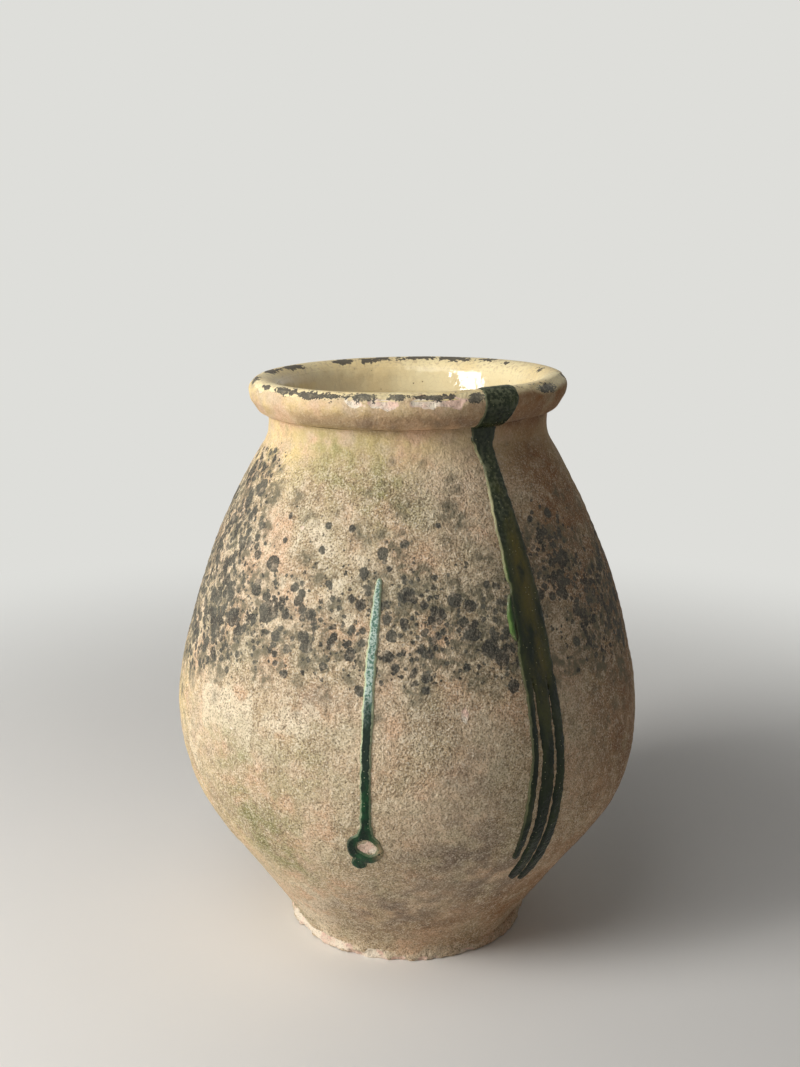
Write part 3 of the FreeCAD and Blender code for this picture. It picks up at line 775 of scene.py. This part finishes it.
def run_piece(name, bearings, stations, form, thickness, tones):
    """Raised glaze over the clay; past its outline it dips below the surface and stops.

    The tones are lists like those of the weathering, of where its colour changes.
    """
    points, outward = turn(at(OVER_RIM, CREST + stations), bearings)
    wander = EDGE_WANDER * rough(points, 0.010, shift=1.1)
    inside = form(bearings[None, :], stations[:, None], radius_of(points)) + wander
    bead = np.clip(inside / (EDGE_ROUNDING * thickness), 0, 1)
    uneven = 1 + RUN_UNEVEN * rough(points, 0.024, octaves=2, shift=4.4)
    height = thickness * np.sqrt(1 - (1 - bead) ** 2) * uneven
    height = np.where(inside > 0, height, np.maximum(inside, -SUNK))
    relief = clay_relief(points)
    under = rim_fullness(stations)
    raised = under + height + relief * (RELIEF_UNDER - RELIEF_HIDDEN * bead)
    sunk = under + RELIEF_UNDER * relief - UNDERSIDE
    top = sway(points) + outward * raised[..., None]
    bottom = sway(points) + outward * sunk[..., None]
    deep = inside > -SUNK
    keep = deep[:-1, :-1] | deep[1:, :-1] | deep[1:, 1:] | deep[:-1, 1:]
    share = (stations - stations[0]) / (stations[-1] - stations[0])
    masks = {"inside": inside * MILLIMETRES, "along": np.broadcast_to(share[:, None], inside.shape)}
    masks |= {mask: patches(points, places) for mask, places in tones.items()}
    used, corners = np.unique(shell_faces(keep), return_inverse=True)
    shell = np.stack([top, bottom]).reshape(-1, 3)[used]
    masks = {mask: np.stack([values, values]).ravel()[used] for mask, values in masks.items()}
    return new_piece(name, shell, corners.reshape(-1, 4).tolist(), masks, RUN_SHARP_ANGLE)


def make_main_run():
    """Pool on the rim, trunk and three tails."""
    bearings = np.arange(21.5, 47.5, 0.24)
    stations = np.arange(-0.018, down_to(0.122), RUN_STEP)
    tones = {
        "amber": ((32.4, 540, 2.2, 50, 0.55), (32.6, 440, 2.8, 80, 0.85)),
        "leaf": ((26.2, 457, 1.3, 20, 1.0), (27.2, 505, 0.7, 16, 0.6)),
        "pale": ((26.8, 580, 1.5, 80, 1.0), (27.0, 330, 1.2, 90, 0.5)),
        "dull": ((34.0, 694, 12.0, 13, 1.0), (30.0, 600, 6.0, 60, 0.7)),
    }
    return run_piece("main_run", bearings, stations, main_form, RUN_THICKNESS, tones)


def make_small_run():
    """Thin run that ends in a round drop."""
    bearings = np.arange(-16.5, -3.5, 0.2)
    stations = np.arange(down_to(0.514), down_to(0.170), RUN_STEP)
    tones = {"pale": ((-9.0, 410, 6.0, 160, 1.0),), "film": ((-5.4, 210, 1.8, 20, 1.0),)}
    return run_piece("small_run", bearings, stations, small_form, SMALL_RUN_THICKNESS, tones)


# Materials

def paint(red, green, blue):
    """Colour from the usual 0 to 255 numbers."""
    parts = [part / 255 for part in (red, green, blue)]
    return (*(p / 12.92 if p <= 0.04045 else ((p + 0.055) / 1.055) ** 2.4 for p in parts), 1.0)


# Sockets of a mix node that carry its share and its colours
MIX_SHARE = 0
MIX_BELOW = 6
MIX_ABOVE = 7
MIX_RESULT = 2


class Nodes:
    """One material, with a short call for each kind of node."""

    def __init__(self, name):
        self.material = bpy.data.materials.new(name)
        self.material.use_nodes = True
        self.tree = self.material.node_tree
        self.surface = self.tree.nodes["Principled BSDF"]
        self.place = self.add("TexCoord")["Object"]
        self.height = self.add("SeparateXYZ", {0: self.place})["Z"]

    def feed(self, socket, value):
        if isinstance(value, bpy.types.NodeSocket):
            self.tree.links.new(value, socket)
        else:
            socket.default_value = value

    def add(self, kind, sockets=None, **settings):
        """Outputs of a new node that has these settings, and these values in its sockets."""
        node = self.tree.nodes.new("ShaderNode" + kind)
        for name, value in settings.items():
            setattr(node, name, value)
        for socket, value in (sockets or {}).items():
            self.feed(node.inputs[socket], value)
        return node.outputs

    def mask(self, name):
        return self.add("Attribute", attribute_name=name)["Fac"]

    def grain(self, size, detail=3.0, stretch=(1, 1, 1)):
        """Noise from 0 to 1 with lumps of the given size."""
        place = self.add("Mapping", {"Vector": self.place, "Scale": stretch})["Vector"]
        return self.add("TexNoise", {"Vector": place, "Scale": 1 / size, "Detail": detail})["Fac"]

    def shaken(self, size, amount):
        """Places moved about by noise, so that what is drawn there gets ragged edges."""
        shift = self.add("TexNoise", {"Vector": self.place, "Scale": 1 / size, "Detail": 3.0})["Color"]
        sockets = {0: shift, 1: (amount, amount, amount), 2: self.place}
        return self.add("VectorMath", sockets, operation="MULTIPLY_ADD")["Vector"]

    def cells(self, size, place):
        """Cells of the given size: distance from each middle, and a random number for each cell."""
        cell = self.add("TexVoronoi", {"Vector": place, "Scale": 1 / size}, feature="F1")
        return cell["Distance"], self.add("SeparateColor", {"Color": cell["Color"]})["Red"]

    def cracks(self, size, place):
        """Distance from the borders between cells of the given size."""
        sockets = {"Vector": place, "Scale": 1 / size}
        return self.add("TexVoronoi", sockets, feature="DISTANCE_TO_EDGE")["Distance"]

    def dots(self, size, near, far, chosen):
        """Round dots in the chosen share of the cells: 1 within near, gone past far."""
        distance, random = self.cells(size, self.place)
        return self.times(self.ramp(distance, near, far, 1, 0), self.ramp(random, *chosen))

    def ramp(self, value, low, high, first=0.0, last=1.0):
        """Soft step: first where the value is short of low, last where it is past high."""
        sockets = {"Value": value, "From Min": low, "From Max": high, "To Min": first, "To Max": last}
        return self.add("MapRange", sockets, interpolation_type="SMOOTHSTEP")["Result"]

    def math(self, operation, *values):
        return self.add("Math", dict(enumerate(values)), operation=operation)["Value"]

    def times(self, first, second):
        return self.math("MULTIPLY", first, second)

    def patch(self, name, broken):
        """A mask broken up by noise."""
        return self.times(self.mask(name), broken)

    def field(self, name, ragged, reach, low, high):
        """1 where a field made with the mesh is above high, with an edge made ragged by noise."""
        shaken = self.math("MULTIPLY_ADD", self.math("SUBTRACT", ragged, 0.5), reach, self.mask(name))
        return self.ramp(shaken, low, high)

    def over(self, colour, *layers):
        """A colour with others laid over it in turn; each layer is a share and a colour."""
        for share, other in layers:
            sockets = {MIX_SHARE: share, MIX_BELOW: colour, MIX_ABOVE: other}
            colour = self.add("Mix", sockets, data_type="RGBA")[MIX_RESULT]
        return colour

    def finish(self, colour, roughness, shine, *bumps):
        """Colour, roughness and shine; each bump is a value from 0 to 1 and its height in metres."""
        height = 0.0
        for value, tall in bumps:
            height = self.math("MULTIPLY_ADD", value, tall, height)
        inputs = self.surface.inputs
        self.feed(inputs["Base Color"], colour)
        self.feed(inputs["Roughness"], roughness)
        self.feed(inputs["Specular IOR Level"], shine)
        self.feed(inputs["Normal"], self.add("Bump", {"Distance": 1.0, "Height": height})["Normal"])
        return self.material


# Noises that the clay's colours and bumps share, from broad patches to single grains
Grain = namedtuple("Grain", "broad warm patchy mottle sand grit")
# Sizes of lichen spots, and of the patches of grey film round them
LICHEN_SPOTS = (0.018, 0.011, 0.0065)
FILM_PATCH = 0.030


def clay_grain(nodes):
    return Grain(
        broad=nodes.grain(0.090),
        warm=nodes.grain(0.048),
        patchy=nodes.grain(0.026, 5),
        mottle=nodes.grain(0.0085, 4),
        sand=nodes.grain(0.0042, 2),
        grit=nodes.grain(0.0020),
    )


def stained_clay_with_painted_light(nodes, grain, glazed):
    """Buff clay that changes slowly in colour, with stains and the glaze left on the rim, painted shade
    on the right side, low on the body and under the roll of the rim, and painted light on the left
    side.
    """
    broken = nodes.ramp(grain.patchy, 0.34, 0.64)
    flakes = nodes.field("pale", grain.patchy, 1.8, 0.42, 0.60)
    return nodes.over(
        paint(192, 169, 135),
        (nodes.ramp(grain.broad, 0.38, 0.62), paint(219, 193, 161)),
        (nodes.ramp(grain.warm, 0.50, 0.66, last=0.6), paint(222, 180, 144)),
        (nodes.ramp(grain.warm, 0.50, 0.34, last=0.5), paint(190, 180, 148)),
        (nodes.ramp(grain.patchy, 0.46, 0.66, last=0.55), paint(228, 208, 174)),
        # Ochre tint and painted light, broken up by noise
        (nodes.patch("ochre_and_light", broken), paint(232, 205, 148)),
        (nodes.times(flakes, 0.55), paint(240, 224, 195)),
        # Rusty tint and painted shade, broken up by noise
        (nodes.patch("rust_and_shade", nodes.ramp(grain.patchy, 0.28, 0.60, first=0.45)), paint(152, 106, 64)),
        # Stains and painted shade, broken up by noise
        (nodes.patch("stain_and_shade", broken), paint(140, 120, 103)),
        (nodes.patch("algae", broken), paint(150, 144, 94)),
        (glazed, paint(240, 221, 172)),
    )


def sandy_clay(nodes, grain, sandy, colour):
    """Dark and light sand in the clay, a little less of it low on the body and in broad patches."""
    coarse = nodes.times(sandy, nodes.ramp(nodes.height, 0.26, 0.42, first=0.85))
    coarse = nodes.times(coarse, nodes.ramp(grain.broad, 0.35, 0.65, first=1, last=0.7))
    return nodes.over(
        colour,
        (nodes.times(coarse, nodes.ramp(grain.mottle, 0.50, 0.70, last=0.55)), paint(144, 123, 97)),
        (nodes.times(coarse, nodes.ramp(grain.mottle, 0.48, 0.32, last=0.45)), paint(243, 227, 198)),
        (nodes.times(coarse, nodes.ramp(grain.grit, 0.52, 0.64, last=0.75)), paint(95, 82, 64)),
        (nodes.times(coarse, nodes.ramp(grain.grit, 0.46, 0.35, last=0.60)), paint(249, 238, 217)),
        (nodes.times(sandy, nodes.ramp(grain.sand, 0.64, 0.72, last=0.6)), paint(104, 88, 66)),
    )


def lichen_spots(nodes, ragged, place):
    """The single rosettes, and ragged spots that grow and merge where lichen is thick."""
    cover = nodes.mask("lichen")
    spots = nodes.field("rosette", ragged, 7.0, -0.4, 0.9)
    for size in LICHEN_SPOTS:
        distance, random = nodes.cells(size, place)
        share = nodes.math("MULTIPLY_ADD", nodes.times(random, random), 0.62, 0.14)
        inside = nodes.math("SUBTRACT", nodes.times(cover, share), distance)
        spots = nodes.math("MAXIMUM", spots, nodes.ramp(inside, -0.03, 0.08))
    return spots


def grey_film(nodes, ragged, place):
    """Thin growth round the lichen, in patches with soft and broken edges."""
    distance, random = nodes.cells(FILM_PATCH, place)
    reach = nodes.patch("film", nodes.math("MULTIPLY_ADD", random, 0.75, 0.30))
    film = nodes.ramp(nodes.math("SUBTRACT", reach, distance), -0.25, 0.25)
    return nodes.times(film, nodes.ramp(ragged, 0.36, 0.60, 0.15, 0.85))


def grown_clay(nodes, grain, colour):
    """Grey film, fresh clay in the chips, and over them dark lichen and crust."""
    place = nodes.shaken(0.0038, 0.0050)
    fresh = nodes.over(
        paint(242, 228, 206),
        (nodes.ramp(grain.patchy, 0.44, 0.58), paint(232, 198, 178)),
        (nodes.ramp(grain.grit, 0.56, 0.66, last=0.5), paint(136, 116, 100)),
    )
    lichen = nodes.over(
        paint(61, 60, 56),
        (nodes.ramp(grain.patchy, 0.40, 0.60), paint(89, 87, 78)),
        (nodes.ramp(grain.grit, 0.50, 0.38, last=0.6), paint(132, 126, 110)),
    )
    ragged = nodes.math("MULTIPLY_ADD", grain.grit, 0.6, nodes.times(grain.mottle, 0.4))
    crust = nodes.field("crust", ragged, 2.6, 0.0, 0.15)
    dark = nodes.math("MAXIMUM", lichen_spots(nodes, grain.mottle, place), crust)
    return nodes.over(
        colour,
        (grey_film(nodes, grain.mottle, place), paint(113, 108, 89)),
        (nodes.field("fresh", grain.mottle, 0.9, -0.02, 0.12), fresh),
        (nodes.times(dark, nodes.ramp(grain.mottle, 0.30, 0.50, 0.6, 0.94)), lichen),
    )


def make_clay():
    """Weathered buff earthenware: sandy below the neck, stained, grown over and worn, with painted
    shade on the right side and painted light on the left side.
    """
    nodes = Nodes("weathered_clay")
    grain = clay_grain(nodes)
    sandy = nodes.ramp(nodes.height, 0.59, 0.65, first=1, last=0.3)
    glazed = nodes.patch("glazed", nodes.ramp(grain.patchy, 0.36, 0.46))
    colour = stained_clay_with_painted_light(nodes, grain, glazed)
    colour = sandy_clay(nodes, grain, sandy, colour)
    colour = grown_clay(nodes, grain, colour)
    return nodes.finish(
        colour, nodes.ramp(glazed, 0, 1, 0.88, 0.50), 0.3,
        (grain.patchy, 0.0018), (grain.mottle, 0.0014),
        (nodes.times(sandy, grain.sand), -0.0024), (nodes.times(sandy, grain.grit), -0.0016),
    )


def make_yellow_glaze():
    """Glossy pale yellow glaze, browner in patches that are partly drips and partly painted shade on
    the left inner wall and deep inside, with pinholes and fine crazing, dull on the rim.
    """
    nodes = Nodes("yellow_glaze")
    broad = nodes.grain(0.060)
    patchy = nodes.grain(0.018)
    fine = nodes.grain(0.0040)
    pinhole = nodes.dots(0.011, near=0.05, far=0.11, chosen=(0.75, 0.80))
    crack = nodes.cracks(0.006, nodes.shaken(0.01, 0.003))
    worn = nodes.mask("worn")
    crust = nodes.field("crust", fine, 1.9, 0.0, 0.15)
    colour = nodes.over(
        paint(248, 231, 182),
        (nodes.ramp(broad, 0.35, 0.70), paint(242, 218, 162)),
        # Browner drips and painted shade, broken up by noise
        (nodes.patch("brown_and_shade", nodes.ramp(patchy, 0.2, 0.7)), paint(186, 148, 96)),
        (nodes.times(pinhole, 0.8), paint(120, 84, 48)),
        (nodes.ramp(crack, 0.0, 0.03, 0.2, 0), paint(150, 112, 66)),
        (nodes.times(worn, nodes.ramp(fine, 0.48, 0.66, last=0.7)), paint(206, 182, 142)),
        (nodes.times(crust, 0.93), paint(66, 62, 57)),
    )
    dull = nodes.math("MAXIMUM", crust, nodes.times(worn, 0.6))
    return nodes.finish(
        colour, nodes.ramp(dull, 0, 1, 0.10, 0.85), 0.7,
        (broad, 0.0034), (patchy, 0.0014), (pinhole, -0.0004), (crust, 0.0004),
    )


def finish_run(nodes, colour, fine, thin_glaze_and_glint, dull):
    """Pale broken line along the edge, pale dots painted on the pits as painted glints, and the gloss
    of run glaze.
    """
    edge = nodes.math("MULTIPLY_ADD", fine, 2.4, nodes.mask("inside"))
    pit_and_glint = nodes.dots(0.0036, near=0.10, far=0.24, chosen=(0.74, 0.80))
    colour = nodes.over(
        colour,
        (nodes.patch("pale", nodes.ramp(edge, 2.2, 3.4, 1, 0)), thin_glaze_and_glint),
        # Pale dots on the pits: painted glints
        (nodes.times(pit_and_glint, 0.5), thin_glaze_and_glint),
    )
    return nodes.finish(
        colour, nodes.ramp(nodes.math("ADD", dull, pit_and_glint), 0, 1, 0.18, 0.60), 0.2,
        (nodes.grain(0.016), 0.0012), (fine, 0.0010), (pit_and_glint, -0.0003),
    )


def make_main_green():
    """Dark bottle green, amber where the run is clear and deep, grey and dull near the rim."""
    nodes = Nodes("dark_green_glaze")
    streaks = nodes.grain(0.020, 4, stretch=(1, 1, 0.3))
    fine = nodes.grain(0.0040)
    colour = nodes.over(
        paint(20, 32, 15),
        (nodes.ramp(streaks, 0.40, 0.68), paint(46, 56, 26)),
        (nodes.patch("dull", nodes.ramp(fine, 0.42, 0.62, first=0.1)), paint(104, 108, 84)),
        (nodes.patch("amber", nodes.ramp(streaks, 0.36, 0.62)), paint(94, 82, 28)),
        (nodes.patch("leaf", nodes.ramp(streaks, 0.25, 0.55)), paint(84, 120, 54)),
    )
    # The pale colour passed here is for the thin glaze at the edge and the painted glints on the pits
    return finish_run(nodes, colour, fine, paint(176, 170, 128), nodes.mask("dull"))


def make_small_green():
    """Frosted blue green at the top, nearly black half way down, deep green in the drop."""
    nodes = Nodes("blue_green_glaze")
    streaks = nodes.grain(0.012, 4, stretch=(1, 1, 0.5))
    fine = nodes.grain(0.0026)
    down = nodes.math("MULTIPLY_ADD", streaks, 0.16, nodes.mask("along"))
    frost = nodes.ramp(down, 0.42, 0.54, 1, 0)
    pale = nodes.over(paint(92, 126, 110), (nodes.ramp(fine, 0.42, 0.60), paint(186, 202, 190)))
    deep = nodes.over(paint(15, 38, 25), (nodes.ramp(streaks, 0.38, 0.62), paint(26, 70, 40)))
    colour = nodes.over(
        paint(36, 50, 40),
        (nodes.ramp(down, 0.62, 0.80), deep),
        (frost, pale),
        (nodes.patch("film", nodes.ramp(fine, 0.30, 0.50)), paint(170, 148, 112)),
    )
    # The pale colour passed here is for the thin glaze at the edge and the painted glints on the pits
    return finish_run(nodes, colour, fine, paint(190, 198, 160), nodes.times(frost, 0.6))


# Stage, light and camera

BACKDROP = paint(222, 222, 218)
FLOOR_DARK = paint(230, 228, 224)
FLOOR_LIGHT = paint(236, 234, 230)
FLOOR_SIDE = 6.0
FLOOR_FRONT = -5.0
SWEEP_START = 2.2
SWEEP_RADIUS = 0.8
BACKDROP_TOP = 4.0
# Distances from the jar between which the floor turns into the backdrop
FLOOR_FADE = (0.6, 1.9)
CAMERA_TILT = 13.89


def make_floor():
    """Pale floor that curves up into a backdrop behind the jar."""
    curve = arc((SWEEP_START, SWEEP_RADIUS), SWEEP_RADIUS, -math.pi / 2, 0)
    sweep = np.vstack([(FLOOR_FRONT, 0.0), curve, (SWEEP_START + SWEEP_RADIUS, BACKDROP_TOP)])
    sides = (-FLOOR_SIDE, FLOOR_SIDE)
    points = [(side, place, height) for side in sides for place, height in sweep.tolist()]
    rows = len(sweep)
    faces = [(row, rows + row, rows + row + 1, row + 1) for row in range(rows - 1)]
    floor = new_piece("floor", np.array(points), faces, {})
    return floor


def seen_rays(tree):
    """1 for rays that come from the camera, off a shiny face or through glass."""
    kinds = tree.nodes.new("ShaderNodeLightPath").outputs
    seen = kinds["Is Camera Ray"]
    for kind in ("Is Glossy Ray", "Is Transmission Ray"):
        also = tree.nodes.new("ShaderNodeMath")
        also.operation = "MAXIMUM"
        tree.links.new(seen, also.inputs[0])
        tree.links.new(kinds[kind], also.inputs[1])
        seen = also.outputs["Value"]
    return seen


def mix_shaders(tree, share, plain, backdrop, output):
    """Give an output the plain shader, or the backdrop's where the share is 1."""
    either = tree.nodes.new("ShaderNodeMixShader")
    for socket, value in zip(either.inputs, (share, plain, backdrop)):
        tree.links.new(value, socket)
    tree.links.new(either.outputs["Shader"], tree.nodes[output].inputs["Surface"])


def make_floor_paint():
    """Pale paint that takes the jar's shadow, and turns into an even backdrop away from the jar."""
    nodes = Nodes("pale_floor")
    colour = nodes.over(FLOOR_DARK, (nodes.grain(0.6), FLOOR_LIGHT))
    nodes.feed(nodes.surface.inputs["Base Color"], colour)
    nodes.surface.inputs["Roughness"].default_value = 0.9
    backdrop = nodes.add("Emission", {"Color": BACKDROP})["Emission"]
    away = nodes.add("VectorMath", {0: nodes.place}, operation="LENGTH")["Value"]
    far = nodes.times(nodes.ramp(away, *FLOOR_FADE), seen_rays(nodes.tree))
    mix_shaders(nodes.tree, far, nodes.surface.outputs["BSDF"], backdrop, "Material Output")
    return nodes.material


def add_lamp(name, place, aim, size, power, colour):
    """Rectangular lamp at a place, turned to face its aim."""
    lamp = bpy.data.lights.new(name, "AREA")
    lamp.shape = "RECTANGLE"
    lamp.size, lamp.size_y = size
    lamp.energy = power
    lamp.color = colour
    holder = bpy.data.objects.new(name, lamp)
    holder.location = place
    heading = np.array(aim) - np.array(place)
    holder.rotation_euler = (
        math.acos(-heading[2] / np.linalg.norm(heading)),
        0,
        math.atan2(heading[1], heading[0]) - math.pi / 2,
    )
    bpy.context.scene.collection.objects.link(holder)


def add_lamps():
    """A tall window at the left, and a weak lamp overhead."""
    add_lamp(
        "window", place=(-2.38, -1.25, 1.50), aim=(0, 0, 0.45),
        size=(1.0, 1.7), power=77, colour=(1.0, 0.99, 0.97),
    )
    add_lamp(
        "overhead", place=(-0.7, -1.1, 2.4), aim=(0, 0, 0.6),
        size=(1.4, 1.4), power=12, colour=(1.0, 0.99, 0.98),
    )


def add_room():
    """Dim even light from all round, with the backdrop where it is seen."""
    world = bpy.data.worlds.new("room")
    world.use_nodes = True
    tree = world.node_tree
    room = tree.nodes["Background"]
    room.inputs["Color"].default_value = (0.97, 0.98, 1.0, 1)
    room.inputs["Strength"].default_value = 0.12
    backdrop = tree.nodes.new("ShaderNodeBackground")
    backdrop.inputs["Color"].default_value = BACKDROP
    plain = room.outputs["Background"]
    mix_shaders(tree, seen_rays(tree), plain, backdrop.outputs["Background"], "World Output")
    bpy.context.scene.world = world


def add_camera():
    """The photograph's view: a little above the jar, looking down on it."""
    lens = bpy.data.cameras.new("camera")
    lens.lens = 45.0
    lens.sensor_width = 36.0
    camera = bpy.data.objects.new("camera", lens)
    camera.location = (-0.0088, -1.608, 0.899)
    camera.rotation_euler = (math.radians(90 - CAMERA_TILT), 0, 0)
    bpy.context.scene.collection.objects.link(camera)
    bpy.context.scene.camera = camera


# Assembly

def fit(piece, node, material):
    """Put a piece in its solid's place."""
    piece.data.materials.append(material)
    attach(piece, "root")
    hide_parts(node)


clay = make_clay()
yellow = make_yellow_glaze()
main_green = make_main_green()
small_green = make_small_green()

fit(make_foot(), "base_slab", clay)
fit(make_corner_coil(), "floor_coil", clay)
fit(make_lower_body(), "lower_wall", clay)
fit(make_upper_body(), "upper_wall", clay)
fit(make_rim(), "rim_roll", clay)
fit(make_lining(), "inner_glaze", yellow)
fit(make_main_run(), "main_green_run", main_green)
fit(make_small_run(), "small_green_run", small_green)

make_floor().data.materials.append(make_floor_paint())
add_lamps()
add_room()
add_camera()
bpy.context.scene.view_settings.view_transform = "Standard"
